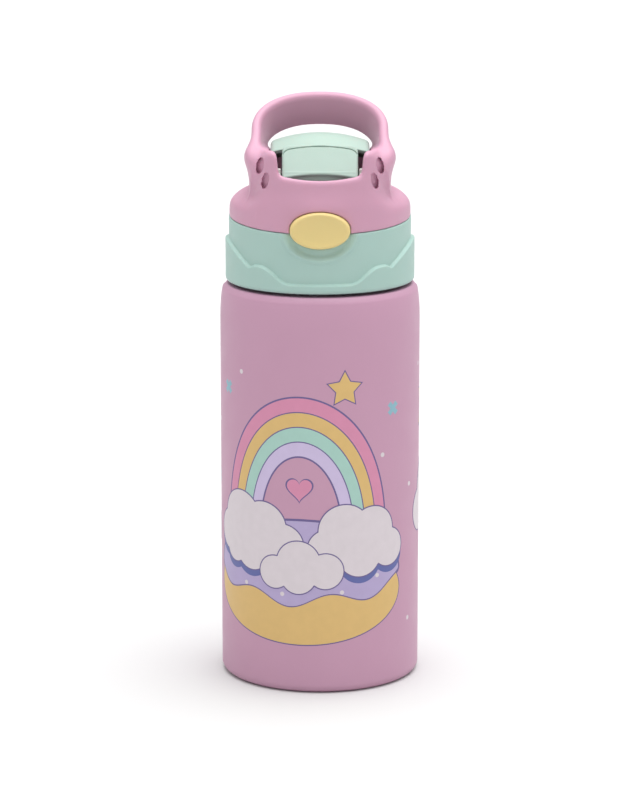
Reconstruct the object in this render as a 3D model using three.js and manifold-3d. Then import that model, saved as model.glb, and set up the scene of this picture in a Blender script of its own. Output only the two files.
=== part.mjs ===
// Insulated children's drinking bottle with a screw lid, a roll-back spout cover and a push button.
// Millimetres, +Z up, origin at the centre of the base, -Y is the front (the button's side).

import * as THREE from 'three';
import { mergeVertices } from 'three/addons/utils/BufferGeometryUtils.js';
import Module from 'manifold-3d';

const wasm = await Module();
wasm.setup();

// ---- driving dimensions -------------------------------------------------------------------------

const ROUND = 36; // facets round the large turned pieces
const SMALL = 16; // facets round the small turned pieces

// bottle
const BODY_R = 36.5;
const BODY_TOP = 145.8;
const STEEL = 0.6;
const BASE_CORNER = 3;
const BASE_RING_R = 24; // inner edge of the flat standing ring
const SHOULDER_START = 133;
const SHOULDER_DROP = 1.8;
const NECK_R = 28;
const NECK_TOP = 160;
const MOUTH_R = 27.1;
const LINER_R = 33.8;
const LINER_BASE = 7.2;

// screw thread, one round ridge on the neck and one inside the lid
const PITCH = 4;
const THREAD_TURNS = 1.25;
const RIDGE_R = 1.05;
const NECK_RIDGE_START = 151;

// lid body
const GASKET_T = 2;
const DECK_BOTTOM = NECK_TOP + GASKET_T;
const DECK_TOP = DECK_BOTTOM + 2.4;
const CORE_BORE_R = 29.5;
const CORE_R = 31.2;
const COLLAR_BOTTOM = 146.9;
const COLLAR_LOWER_R = 34.45;
const COLLAR_UPPER_R = 33.15;
const COLLAR_BORE_R = 31.5;
const SEAM_Z = 170.7; // height of the tilted collar-to-cover seam on the axis
const SEAM_SLOPE = 0.0757; // rise of the seam per millimetre towards the back
const SEAM_GAP = 0.3;

// relief line round the collar: a level front, a small wave, then a high wave at each side
const RELIEF_LEVEL = 150;
const SMALL_WAVE = { height: 5.8, centre: 41, rate: 4.87 };
const LARGE_WAVE = { height: 12.5, centre: 88, rate: 1.72 };

// top cover and handle
const COVER_R = 33.1;
const TOWER_HALF = 24.75;
const EAR_HALF = 26.6;
const WELL_HALF = 18.3;
const NOTCH_HALF = 15;
const NOTCH_Z = 187.4;
const PLAN_R = 32.4; // the tower's front corners lie on this circle
const PLAN_CORNER_R = 8;
const TOWER_BACK = 17.4;
const HANDLE_LEAN = THREE.MathUtils.degToRad(35.1); // angle of the loop's plane above level
const HANDLE_FOOT = [-20, 194]; // y, z where the loop's front face starts
const HANDLE_HALF = 24.7;
const HANDLE_LENGTH = 36;
const HANDLE_STRAIGHT = 17;
const HANDLE_DEPTH = 13.2;
const HANDLE_WALL = 3.4;

// flip cover, which rolls back about a cross pin
const PIVOT = [-3, 184.5]; // y, z
const ROLL_R = 16.4;
const ROLL_HALF = 17.85;
const CROWN_R = 50;
const COVER_WALL = 1.8;
const CHEEK_IN = 16.2;
const BLOCK_HALF = 13.6;
const PIN_R = 1.5;
const PIN_IN = 12;
const PIN_OUT = 20.5;
const RUN_GAP = 0.3;
const SWEEP_GAP = 0.8;

// spout and straw
const SPOUT_Y = -7;
const VENT = [-7.9, -3.2]; // x, y
const HOUSING_TOP = 177;
const SPOUT_TOP = 194.5;
const STRAW_BOTTOM = 11;
const STRAW_TOP = 159.5;
const PAD_BOTTOM = 194.8;
const PAD_TOP = 196.2;

// push button
const BUTTON_Z = 169.7;
const BUTTON_HALF_W = 10.75;
const BUTTON_HALF_H = 6.55;
const BUTTON_BACK = -30.3;
const BUTTON_FRONT = -34.7;
const SPRING_SEAT_Y = -15.5;
const DISH_HALF_W = 12.8; // shallow dish in the collar round the button
const DISH_HALF_H = 10.3;
const DISH_DEPTH = 0.9;

// ---- colours and finishes -------------------------------------------------------------------------

const finish = (color, roughness, metalness = 0) =>
  new THREE.MeshStandardMaterial({ color, roughness, metalness });

const PINK_COAT = finish('#c396b0', 0.45);
const PINK_PLASTIC = finish('#d6a9bf', 0.42);
const MINT_PLASTIC = finish('#a9cdc1', 0.42);
const PALE_MINT = finish('#c5ddd3', 0.42);
const YELLOW_PLASTIC = finish('#dcc588', 0.4);
const GREY_PLASTIC = finish('#c9c6c2', 0.5);
const STEEL_METAL = finish('#b9bcc0', 0.3, 1);
const SILICONE = finish('#e6e4df', 0.6);
const CLEAR_PLASTIC = finish('#dfe6e4', 0.25);

// ---- making and joining solids ----------------------------------------------------------------------

// Merges shared vertices, drops flat triangles and turns the faces outwards.
function toSolid(geometry) {
  geometry.deleteAttribute('normal');
  geometry.deleteAttribute('uv');
  const merged = mergeVertices(geometry, 1e-4);
  const p = merged.attributes.position;
  const source = merged.index.array;
  let triVerts = [];
  for (let i = 0; i < source.length; i += 3) {
    const [a, b, c] = [source[i], source[i + 1], source[i + 2]];
    if (a !== b && b !== c && c !== a) triVerts.push(a, b, c);
  }
  let volume = 0;
  const corner = (i) => new THREE.Vector3().fromBufferAttribute(p, i);
  for (let i = 0; i < triVerts.length; i += 3) {
    const [a, b, c] = [corner(triVerts[i]), corner(triVerts[i + 1]), corner(triVerts[i + 2])];
    volume += a.dot(b.cross(c));
  }
  if (volume < 0) triVerts = triVerts.reverse();
  const vertProperties = Float32Array.from(p.array);
  return new wasm.Manifold(
    new wasm.Mesh({ numProp: 3, vertProperties, triVerts: Uint32Array.from(triVerts) }),
  );
}

function toGeometry(solid) {
  const mesh = solid.getMesh();
  const geometry = new THREE.BufferGeometry();
  const points = new Float32Array(mesh.numVert * 3);
  for (let i = 0; i < mesh.numVert; i += 1) {
    for (let k = 0; k < 3; k += 1) points[3 * i + k] = mesh.vertProperties[mesh.numProp * i + k];
  }
  geometry.setAttribute('position', new THREE.BufferAttribute(points, 3));
  geometry.setIndex(Array.from(mesh.triVerts));
  geometry.computeVertexNormals();
  return geometry;
}

const joined = (solids) => solids.reduce((a, b) => a.add(b));

// A turned geometry about Z, from [radius, z] points.
function turnedGeometry(points, facets) {
  const profile = points.map(([r, z]) => new THREE.Vector2(r, z));
  return new THREE.LatheGeometry(profile, facets).rotateX(Math.PI / 2);
}

const turned = (points, facets = ROUND) => toSolid(turnedGeometry(points, facets));

// A closed ring profile repeats its first point.
const ring = (points, facets = ROUND) => turned([...points, points[0]], facets);

// A turned solid standing at x, y.
const turnedAt = (points, x, y, facets = SMALL) =>
  toSolid(turnedGeometry(points, facets).translate(x, y, 0));

const rod = (r, z0, z1, x, y, facets = SMALL) =>
  turnedAt([[0, z0], [r, z0], [r, z1], [0, z1]], x, y, facets);

// A rod along X between x0 and x1.
function crossRod(r, x0, x1, [y, z], facets = SMALL) {
  const g = new THREE.CylinderGeometry(r, r, x1 - x0, facets).rotateZ(Math.PI / 2);
  return toSolid(g.translate((x0 + x1) / 2, y, z));
}

function box([x0, x1], [y0, y1], [z0, z1]) {
  const g = new THREE.BoxGeometry(x1 - x0, y1 - y0, z1 - z0);
  return toSolid(g.translate((x0 + x1) / 2, (y0 + y1) / 2, (z0 + z1) / 2));
}

function extruded(points, depth, basis) {
  const shape = new THREE.Shape(points.map(([u, v]) => new THREE.Vector2(u, v)));
  const g = new THREE.ExtrudeGeometry(shape, { depth, bevelEnabled: false });
  return toSolid(g.applyMatrix4(basis));
}

// A side outline of [y, z] points, given thickness from x0 to x1.
function sidePlate(points, x0, x1) {
  const basis = new THREE.Matrix4().makeBasis(
    new THREE.Vector3(0, 1, 0), new THREE.Vector3(0, 0, 1), new THREE.Vector3(1, 0, 0),
  );
  return extruded(points, x1 - x0, basis.setPosition(x0, 0, 0));
}

// A front outline of [x, z] points, given thickness from y0 to y1.
function frontPlate(points, y0, y1) {
  const basis = new THREE.Matrix4().makeBasis(
    new THREE.Vector3(1, 0, 0), new THREE.Vector3(0, 0, 1), new THREE.Vector3(0, -1, 0),
  );
  return extruded(points, y1 - y0, basis.setPosition(0, y1, 0));
}

// A plan outline of [x, y] points, given thickness from z0 to z1.
const topPlate = (points, z0, z1) =>
  extruded(points, z1 - z0, new THREE.Matrix4().makeTranslation(0, 0, z0));

const arc = (cx, cy, r, from, to, steps) =>
  Array.from({ length: steps + 1 }, (_, i) => {
    const a = THREE.MathUtils.degToRad(from + ((to - from) * i) / steps);
    return [cx + r * Math.cos(a), cy + r * Math.sin(a)];
  });

// The span from a to b on the right (side 1), or its mirror on the left (side -1).
const span = (side, a, b) => (side > 0 ? [a, b] : [-b, -a]);

const mirrored = (outline) => [...outline, ...outline.map(([x, z]) => [-x, z]).reverse()];

// Everything above (side 1) or below (side -1) the tilted seam, with half of the seam's gap.
function seamBlock(side) {
  const far = 60;
  const z = (y) => SEAM_Z + SEAM_SLOPE * y - (side * SEAM_GAP) / 2;
  return sidePlate([[-far, z(-far)], [far, z(far)], [far, z(0) + side * 80], [-far, z(0) + side * 80]],
    -far, far);
}

class Helix extends THREE.Curve {
  constructor(radius, pitch, turns, place) {
    super();
    Object.assign(this, { radius, pitch, turns, place });
  }

  getPoint(t, target = new THREE.Vector3()) {
    const a = 2 * Math.PI * this.turns * t;
    const along = this.pitch * this.turns * t;
    return target.copy(this.place(this.radius * Math.cos(a), this.radius * Math.sin(a), along));
  }
}

function swept(path, wireR, sides, steps) {
  const shape = new THREE.Shape(arc(0, 0, wireR, 0, 360 - 360 / sides, sides - 1)
    .map(([u, v]) => new THREE.Vector2(u, v)));
  return toSolid(new THREE.ExtrudeGeometry(shape, { extrudePath: path, steps, bevelEnabled: false }));
}

const threadRidge = (radius, startZ) =>
  swept(new Helix(radius, PITCH, THREAD_TURNS, (x, y, z) => new THREE.Vector3(x, y, startZ + z)),
    RIDGE_R, 6, 40);

// ---- bottle ----------------------------------------------------------------------------------------

function outerShell() {
  const c = BASE_CORNER;
  const inR = BODY_R - STEEL;
  const shoulder = [0, 0.4, 0.7, 0.87].map((t) => [
    BODY_R - SHOULDER_DROP * (1 - Math.sqrt(1 - t * t)),
    SHOULDER_START + t * (BODY_TOP - SHOULDER_START + 0.2),
  ]);
  return ring([
    [BASE_RING_R, 0],
    ...arc(BODY_R - c, c, c, -90, 0, 3),
    ...shoulder,
    ...arc(BODY_R - SHOULDER_DROP - 1, BODY_TOP - 1.1, 1.1, 20, 90, 2),
    [NECK_R + 0.05, BODY_TOP],
    [NECK_R + 0.05, BODY_TOP - STEEL],
    [33.6, BODY_TOP - STEEL],
    [34.6, BODY_TOP - 1.8],
    [inR, SHOULDER_START],
    ...arc(BODY_R - c, c, c - STEEL, 0, -90, 2),
    [BASE_RING_R, STEEL],
  ]);
}

function innerLiner() {
  const inR = LINER_R - STEEL;
  const wall = turned([
    [0, LINER_BASE],
    ...arc(LINER_R - 3, LINER_BASE + 3, 3, -90, 0, 2),
    [LINER_R, 136], [32.5, 140.5], [29.5, 143.4], [NECK_R, 144.2],
    [NECK_R, NECK_TOP - 0.6], [NECK_R - 0.3, NECK_TOP], [MOUTH_R, NECK_TOP],
    [MOUTH_R, 144.3], [28.8, 142.6], [31.9, 140], [inR, 135.7],
    ...arc(inR - 2.4, LINER_BASE + STEEL + 2.4, 2.4, 0, -90, 2),
    [0, LINER_BASE + STEEL],
  ]);
  return wall.add(threadRidge(NECK_R + 0.1, NECK_RIDGE_START));
}

const vacuumBaseDisc = () =>
  turned([[0, 1.9], [4.2, 1.9], [5.2, STEEL], [BASE_RING_R + 2, STEEL], [BASE_RING_R + 2, 1.6],
    [5.6, 1.6], [4.6, 2.7], [0, 2.7]]);

const basePlate = () => turned([[0, 0.2], [BASE_RING_R - 0.3, 0.2], [BASE_RING_R - 0.3, STEEL], [0, STEEL]]);

const getterPill = () => rod(3, 1.6, 4.6, 14, 0);

// ---- lid body --------------------------------------------------------------------------------------

function reliefZ(degrees) {
  const wave = ({ height, centre, rate }, a) => {
    const phase = rate * (a - centre);
    return Math.abs(phase) < 90 ? height * Math.cos(THREE.MathUtils.degToRad(phase)) : 0;
  };
  const a = Math.min(degrees, 180 - degrees);
  return RELIEF_LEVEL + Math.max(wave(SMALL_WAVE, a), wave(LARGE_WAVE, a));
}

function collar() {
  const step = 0.5;
  const top = SEAM_Z + 6;
  const profile = [
    [COLLAR_BORE_R, COLLAR_BOTTOM], [COLLAR_LOWER_R - 0.6, COLLAR_BOTTOM],
    [COLLAR_LOWER_R, COLLAR_BOTTOM + 0.6], [COLLAR_LOWER_R, RELIEF_LEVEL],
    [COLLAR_UPPER_R, RELIEF_LEVEL + step], [COLLAR_UPPER_R, top], [COLLAR_BORE_R, top],
  ];
  const g = turnedGeometry([...profile, profile[0]], 2 * ROUND);
  const p = g.attributes.position;
  for (let i = 0; i < p.count; i += 1) {
    const z = p.getZ(i);
    if (z >= RELIEF_LEVEL && z <= RELIEF_LEVEL + step) {
      const fromFront = THREE.MathUtils.radToDeg(Math.atan2(Math.abs(p.getX(i)), -p.getY(i)));
      p.setZ(i, z + reliefZ(fromFront) - RELIEF_LEVEL);
    }
  }
  const dishR = COLLAR_UPPER_R - DISH_DEPTH;
  const around = ring([[dishR, 150], [40, 150], [40, 190], [dishR, 190]]);
  const dish = ovalSolid([[0, -45], [1, -45], [1, -20], [0, -20]], DISH_HALF_W, DISH_HALF_H)
    .intersect(around);
  return toSolid(g).subtract(seamBlock(1)).subtract(dish).subtract(buttonOpening());
}

function lidCore() {
  const cup = turned([
    [0, DECK_BOTTOM], [CORE_BORE_R, DECK_BOTTOM], [CORE_BORE_R, COLLAR_BOTTOM + 0.5],
    [CORE_R, COLLAR_BOTTOM + 0.5], [CORE_R, DECK_TOP], [0, DECK_TOP],
  ]);
  return cup
    .add(threadRidge(CORE_BORE_R + 0.05, NECK_RIDGE_START - PITCH / 2))
    .subtract(rod(4.3, 150, 170, 0, SPOUT_Y))
    .subtract(rod(1.6, 150, 170, ...VENT, 8))
    .subtract(buttonOpening());
}

const lidGasket = () =>
  ring([[MOUTH_R - 0.5, NECK_TOP], [CORE_BORE_R - 0.3, NECK_TOP], [CORE_BORE_R - 0.3, DECK_BOTTOM],
    [MOUTH_R - 0.5, DECK_BOTTOM]]);

const ventValve = () =>
  turnedAt([[0, 160.8], [2.2, 160.8], [2.2, 161.6], [1.3, 161.6], [1.3, DECK_TOP], [3.2, DECK_TOP],
    [2.6, DECK_TOP + 0.9], [0, DECK_TOP + 1.1]], ...VENT, 12);

// The inner block that carries the spout; it stands on the deck and is open below.
function spoutHousing() {
  const half = 13;
  const [front, back] = [SPRING_SEAT_Y, 2];
  const wall = 1.6;
  const posts = [-1, 1].map((side) => {
    const foot = box(span(side, 12.4, 15.2), [-22.5, -14], [DECK_TOP, 168]);
    return foot.add(box(span(side, 14, 15.2), [-22.5, -19], [DECK_TOP, 190]));
  });
  return joined([box([-half, half], [front, back], [DECK_TOP, HOUSING_TOP]), ...posts])
    .subtract(box([wall - half, half - wall], [front + wall, back - wall], [150, HOUSING_TOP - wall]))
    .subtract(rod(4.3, 150, 190, 0, SPOUT_Y));
}

// ---- spout and straw --------------------------------------------------------------------------------

const spout = () =>
  turnedAt([
    [2.2, 168], [4, 168], [4, HOUSING_TOP], [5.8, HOUSING_TOP], [5.8, HOUSING_TOP + 1.4],
    [4, HOUSING_TOP + 2.4], [3.8, 188], [4.3, 192], [3.9, SPOUT_TOP - 0.4], [3.2, SPOUT_TOP],
    [2.2, SPOUT_TOP], [2.2, 168],
  ], 0, SPOUT_Y);

const strawConnector = () =>
  turnedAt([
    [1.3, 149], [2.3, 149], [2.3, 160.4], [4, 160.4], [4, DECK_TOP], [5.2, DECK_TOP],
    [5.2, DECK_TOP + 1], [1.9, DECK_TOP + 1], [1.9, 174], [1.3, 174], [1.3, 149],
  ], 0, SPOUT_Y);

const straw = () =>
  turnedAt([[2.6, STRAW_BOTTOM], [3.4, STRAW_BOTTOM], [3.4, STRAW_TOP], [2.6, STRAW_TOP],
    [2.6, STRAW_BOTTOM]], 0, SPOUT_Y);

// ---- top cover with its handle ------------------------------------------------------------------------

// The tilted plane of the handle loop: x across, then up along the loop, then out of its front face.
function handleBasis() {
  const up = new THREE.Vector3(0, Math.cos(HANDLE_LEAN), Math.sin(HANDLE_LEAN));
  const front = new THREE.Vector3(0, -Math.sin(HANDLE_LEAN), Math.cos(HANDLE_LEAN));
  const foot = new THREE.Vector3(0, ...HANDLE_FOOT).addScaledVector(front, -HANDLE_DEPTH);
  return new THREE.Matrix4().makeBasis(new THREE.Vector3(1, 0, 0), up, front).setPosition(foot);
}

// Half of a squarish arch: straight legs, then a rounded crown.
function archHalf(half, length) {
  const rise = length - HANDLE_STRAIGHT;
  const crown = Array.from({ length: 9 }, (_, i) => {
    const a = (Math.PI / 2) * (i / 9);
    return [half * Math.cos(a) ** 0.85, HANDLE_STRAIGHT + rise * Math.sin(a) ** 0.85];
  });
  return [[half, -1], ...crown, [0, length]];
}

function handleLoop() {
  const outline = (half, length) => {
    const right = archHalf(half, length);
    return [...right, ...right.slice(0, -1).map(([x, s]) => [-x, s]).reverse()];
  };
  const outer = extruded(outline(HANDLE_HALF, HANDLE_LENGTH), HANDLE_DEPTH, handleBasis());
  const hole = outline(HANDLE_HALF - HANDLE_WALL, HANDLE_LENGTH - HANDLE_WALL);
  const through = handleBasis().multiply(new THREE.Matrix4().makeTranslation(0, 0, -5));
  return outer.subtract(extruded(hole.map(([x, s]) => [x, s < 0 ? -30 : s]), HANDLE_DEPTH + 10, through));
}

const crownDrop = (x) => CROWN_R - Math.sqrt(CROWN_R * CROWN_R - x * x);

// A barrel about the pivot axis whose radius falls towards its ends with the crown.
function barrel(radius, half) {
  const xs = [-1, -0.75, -0.5, -0.25, 0, 0.25, 0.5, 0.75, 1].map((t) => t * half);
  const points = [[0, -half], ...xs.map((x) => [radius - crownDrop(x), x]), [0, half]];
  const g = new THREE.LatheGeometry(points.map(([r, x]) => new THREE.Vector2(r, x)), 32);
  return toSolid(g.rotateZ(-Math.PI / 2).translate(0, ...PIVOT));
}

function dome() {
  return turned([
    [0, 178.4], [24, 178.1], [27, 177.1], [29.5, 174.8], [30.6, 173], [30.9, 171.4], [30.9, 164],
    [COVER_R, 164], [COVER_R, 172.8], [32.8, 174.4], [31.5, 176.5], [28.2, 179.6], [24.5, 180.7],
    [0, 181],
  ]);
}

function tower() {
  const side = [
    [-32.4, 172], [-31.9, 180], [-31.5, 187], [-31, 192], [-29.4, 195.8], [-26, 197.3],
    [-20.5, 197],
    [14, 192.6], [16.4, 191.2], [TOWER_BACK, 188.5], [TOWER_BACK, 172],
  ];
  const front = mirrored([
    [TOWER_HALF, 172], [TOWER_HALF, 186], [EAR_HALF, 192.5], [EAR_HALF, 195], [25, 197.4], [0.01, 197.6],
  ]);
  const corner = PLAN_CORNER_R;
  const plan = mirrored([
    ...arc(0, 0, PLAN_R, -90, -34, 5).slice(1), [EAR_HALF, TOWER_BACK - corner],
    ...arc(EAR_HALF - corner, TOWER_BACK - corner, corner, 0, 90, 4), [0.01, TOWER_BACK],
  ]);
  return sidePlate(side, -30, 30).intersect(frontPlate(front, -40, 30))
    .intersect(topPlate(plan, 165, 205));
}

// The space that the flip cover, spout and latch stand in, open above and below.
function well() {
  const front = [[-30.2, 160], [-30.2, 173], [-29.7, 180], [-29.3, NOTCH_Z], [-29.3, 230], [9.2, 230]];
  const roll = crossRod(ROLL_R + SWEEP_GAP, -WELL_HALF, WELL_HALF, PIVOT, ROUND);
  const lower = sidePlate([...front.slice(0, 4), [-29.3, PIVOT[1]], [PIVOT[0] + 10, PIVOT[1]],
    [PIVOT[0] + 10, 160]], -WELL_HALF, WELL_HALF);
  const upper = sidePlate([[-29.3, PIVOT[1] - 1], [-29.3, 230], [9.2, 230], [9.2, 196.5],
    [PIVOT[0], PIVOT[1] - 1]], -WELL_HALF, WELL_HALF);
  const ahead = box([-NOTCH_HALF, NOTCH_HALF], [-40, -20], [NOTCH_Z, 230]);
  const below = box([-WELL_HALF, WELL_HALF], [-24, 14], [160, 176.5]);
  const within = rod(PLAN_R - 2.8, 150, 240, 0, 0, ROUND);
  return joined([roll, lower, upper, below]).intersect(within).add(ahead);
}

// Slanted lens-shaped recesses in the front of each ear.
function earRecesses() {
  const recess = (x, z, height, side) =>
    toSolid(new THREE.SphereGeometry(1, 10, 6).scale(1.15, 1.5, height)
      .rotateY(side * 0.25).translate(side * x, -Math.sqrt(PLAN_R ** 2 - x ** 2), z));
  return joined([-1, 1].flatMap((side) => [recess(21.4, 191.5, 2.8, side), recess(19.3, 186.4, 2.9, side)]));
}

function topCover() {
  const solid = dome().add(tower()).subtract(well()).add(handleLoop());
  const hollows = [-1, 1].map((side) =>
    box(span(side, 20.6, 22.6), [-20, 12], [160, 181]));
  const pinHoles = [-1, 1].map((side) =>
    crossRod(PIN_R + RUN_GAP, ...span(side, 15, PIN_OUT + RUN_GAP), PIVOT));
  return [...hollows, ...pinHoles, earRecesses(), seamBlock(-1), buttonOpening()]
    .reduce((a, b) => a.subtract(b), solid);
}

// ---- flip cover --------------------------------------------------------------------------------------

function flipCover() {
  const [py, pz] = PIVOT;
  const wedge = sidePlate([[py, pz], ...arc(py, pz, 30, 28, 131, 4)], -ROLL_HALF, ROLL_HALF);
  const roof = barrel(ROLL_R, ROLL_HALF).intersect(wedge)
    .subtract(barrel(ROLL_R - COVER_WALL, ROLL_HALF + 2)
      .intersect(box([-CHEEK_IN, CHEEK_IN], [-40, 30], [150, 230])));
  const hubs = [-1, 1].map((side) =>
    crossRod(3.5, ...span(side, CHEEK_IN, ROLL_HALF), PIVOT));
  const skin = sidePlate([[-23.2, 187.8], [-14.5, 197.6], [-9.2, 199.6], [-8.6, 197.9], [-13.4, 196],
    [-21.5, 187], [-21.5, 185], [-22.6, 185], [-22.8, 187]], -BLOCK_HALF, BLOCK_HALF);
  const ribs = [-1, 1].map((side) =>
    sidePlate([[-22.9, 187.8], [-14.4, 197.3], [-9, 199.4], [-8.5, 196.5], [-11.5, 193.5], [-20, 184.9]],
      ...span(side, BLOCK_HALF - 1.6, BLOCK_HALF)));
  const boss = rod(5.6, PAD_TOP, 200, 0, SPOUT_Y).intersect(barrel(ROLL_R - COVER_WALL / 2, ROLL_HALF));
  const bore = crossRod(PIN_R + RUN_GAP, -30, 30, PIVOT);
  return joined([roof, ...hubs, skin, ...ribs, boss]).subtract(bore);
}

const coverSealPad = () => rod(4.5, PAD_BOTTOM, PAD_TOP, 0, SPOUT_Y);

const pivotPin = (side) => crossRod(PIN_R, ...span(side, PIN_IN, PIN_OUT), PIVOT, 12);

// A coil round the right-hand pin with one leg under the cover and one on the housing.
function torsionSpring() {
  const [py, pz] = PIVOT;
  const turns = 2.5;
  const steps = 20;
  const coil = Array.from({ length: steps + 1 }, (_, i) => {
    const a = 2 * Math.PI * turns * (i / steps);
    return new THREE.Vector3(12.9 + 2 * (i / steps), py + 2.4 * Math.sin(a), pz + 2.4 * Math.cos(a));
  });
  const path = new THREE.CatmullRomCurve3([
    new THREE.Vector3(12.9, py - 7, pz + 2.4), ...coil, new THREE.Vector3(14.9, py + 5, pz - 2.4),
  ]);
  return swept(path, 0.35, 4, 44);
}

// ---- push button and latch ------------------------------------------------------------------------------

// An oval solid about the button's axis: scaled turning of [share of half size, y] points.
function ovalSolid(points, halfWidth, halfHeight) {
  const g = new THREE.LatheGeometry(points.map(([r, y]) => new THREE.Vector2(r, y)), 28);
  return toSolid(g.scale(halfWidth, 1, halfHeight).translate(0, 0, BUTTON_Z));
}

const buttonOpening = () =>
  ovalSolid([[0, -45], [1, -45], [1, -26], [0, -26]], BUTTON_HALF_W + RUN_GAP, BUTTON_HALF_H + RUN_GAP);

const pushButton = () =>
  ovalSolid([[0, BUTTON_FRONT], [0.55, BUTTON_FRONT + 0.2], [0.9, BUTTON_FRONT + 0.7],
    [1, BUTTON_FRONT + 1.2], [1, BUTTON_BACK], [0, BUTTON_BACK]], BUTTON_HALF_W, BUTTON_HALF_H);

function latchSlide() {
  const arm = (side) => {
    const xs = span(side, 5, 8);
    return box(xs, [BUTTON_BACK, -18.5], [166.8, 172.6]).add(box(xs, [-20.3, -18.5], [170, 187.4]));
  };
  return joined([arm(-1), arm(1), box([-8, 8], [-20.6, -18.5], [184.6, 187.4])]);
}

function buttonSpring() {
  const length = SPRING_SEAT_Y - BUTTON_BACK - 1.2;
  const turns = 6;
  const path = new Helix(2.3, length / turns, turns,
    (x, z, along) => new THREE.Vector3(x, BUTTON_BACK + 0.6 + along, BUTTON_Z + z));
  return swept(path, 0.35, 4, 66);
}

// ---- assembly -------------------------------------------------------------------------------------------

function part(name, solid, material) {
  const mesh = new THREE.Mesh(toGeometry(solid), material);
  mesh.name = name;
  return mesh;
}

const bottle = new THREE.Group();
bottle.add(
  part('outer_shell', outerShell(), PINK_COAT),
  part('inner_liner', innerLiner(), STEEL_METAL),
  part('vacuum_base_disc', vacuumBaseDisc(), STEEL_METAL),
  part('base_plate', basePlate(), STEEL_METAL),
  part('getter_pill', getterPill(), STEEL_METAL),
);

const lid = new THREE.Group();
lid.add(
  part('lid_gasket', lidGasket(), SILICONE),
  part('lid_core', lidCore(), MINT_PLASTIC),
  part('collar', collar(), MINT_PLASTIC),
  part('spout_housing', spoutHousing(), GREY_PLASTIC),
  part('vent_valve', ventValve(), SILICONE),
  part('spout', spout(), SILICONE),
  part('straw_connector', strawConnector(), CLEAR_PLASTIC),
  part('straw', straw(), CLEAR_PLASTIC),
  part('top_cover', topCover(), PINK_PLASTIC),
  part('pivot_pin_left', pivotPin(-1), STEEL_METAL),
  part('pivot_pin_right', pivotPin(1), STEEL_METAL),
);

const flip = new THREE.Group();
flip.add(
  part('flip_cover', flipCover(), PALE_MINT),
  part('cover_seal_pad', coverSealPad(), SILICONE),
  part('torsion_spring', torsionSpring(), STEEL_METAL),
);

const button = new THREE.Group();
button.add(
  part('push_button', pushButton(), YELLOW_PLASTIC),
  part('latch_slide', latchSlide(), GREY_PLASTIC),
  part('button_spring', buttonSpring(), STEEL_METAL),
);

const waterBottle = new THREE.Group();
waterBottle.add(bottle, lid, flip, button);

export default waterBottle;
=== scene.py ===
"""Looks of an insulated children's bottle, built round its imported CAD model.

Every piece is made in millimetres in the CAD frame (+Z up, -Y the front) and scaled to metres.
Lengths and places repeat the CAD source's dimensions, a few of them moved by some tenths of a
millimetre to follow the photograph. The pieces add finer shape and finish.
"""

import math

import bmesh
import bpy
import numpy as np
import openvdb
from mathutils import Euler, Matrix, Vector
from mathutils.geometry import tessellate_polygon


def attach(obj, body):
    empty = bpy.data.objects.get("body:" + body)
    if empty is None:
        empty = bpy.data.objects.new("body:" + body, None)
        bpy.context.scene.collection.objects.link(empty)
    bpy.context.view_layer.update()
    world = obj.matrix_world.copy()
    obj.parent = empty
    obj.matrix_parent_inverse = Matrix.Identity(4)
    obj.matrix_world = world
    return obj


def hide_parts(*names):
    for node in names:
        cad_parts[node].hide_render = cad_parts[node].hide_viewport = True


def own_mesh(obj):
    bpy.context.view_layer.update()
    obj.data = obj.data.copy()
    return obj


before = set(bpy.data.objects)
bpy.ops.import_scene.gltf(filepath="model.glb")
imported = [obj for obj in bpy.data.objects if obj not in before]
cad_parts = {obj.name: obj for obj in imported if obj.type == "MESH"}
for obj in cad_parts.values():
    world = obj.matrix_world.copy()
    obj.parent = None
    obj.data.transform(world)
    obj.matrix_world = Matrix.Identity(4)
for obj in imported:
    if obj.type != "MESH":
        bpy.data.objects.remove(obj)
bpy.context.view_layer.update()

MM = 0.001

# ---- dimensions shared with the CAD model -------------------------------------------------------

BODY_R = 36.5
BODY_TOP = 145.8
STEEL = 0.6
BASE_CORNER = 3.0
SHOULDER_START = 133
SHOULDER_DROP = 1.8
LINER_R = 33.8
LINER_BASE = 7.2
NECK_R = 28.0
NECK_TOP = 160.0
MOUTH_R = 27.1
DECK_BOTTOM = 162.0
DECK_TOP = 164.4
CORE_R = 31.2
CORE_BORE_R = 29.5
CORE_BOTTOM = 147.4
COLLAR_BOTTOM = 146.9
COLLAR_LOWER_R = 34.45
COLLAR_UPPER_R = 33.15
COLLAR_BORE_R = 31.35
SEAM_Z = 170.7
SEAM_SLOPE = 0.0757
SEAM_GAP = 0.16
RELIEF_LEVEL = 150.25
SMALL_WAVE = {"height": 5.8, "centre": 41, "rate": 4.87}
LARGE_WAVE = {"height": 12.5, "centre": 88, "rate": 1.72}
COVER_R = 33.1
DOME_TOP = 180.8
SHELF_POINT = (30.4, 178.2)
SHELF_NORMAL = (0.68, 0.733)
TOWER_BACK = 17.4
EAR_HALF = 24.7
EAR_SWELL = 2.1
EAR_SWELL_Z = 193.9
NOTCH_Z = 187.4
WELL_HALF = 18.3
WELL_R = 17.2
PLAN_R = 32.6
HANDLE_LEAN = math.radians(35.1)
HANDLE_FOOT = (-20.0, 194.0)
HANDLE_DEPTH = 13.6
HANDLE_OUTER = (24.65, 19.5)
HANDLE_INNER = (21.3, 15.9)
PIVOT = (-3.0, 184.5)
ROLL_R = 16.4
ROLL_HALF = 17.85
ROOF_TURN = math.radians(112)
CROWN_R = 50.0
COVER_WALL = 1.8
CHEEK_IN = 16.2
BLOCK_HALF = 13.6
BLOCK_TOP = (-14.5, 197.6)
BLOCK_FOOT = (-23.2, 187.8)
BLOCK_CORNER = 2.8
PIN_R = 1.5
PIN_HOLE_R = 1.8
PIN_IN = 12
PIN_OUT = 20.5
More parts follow.
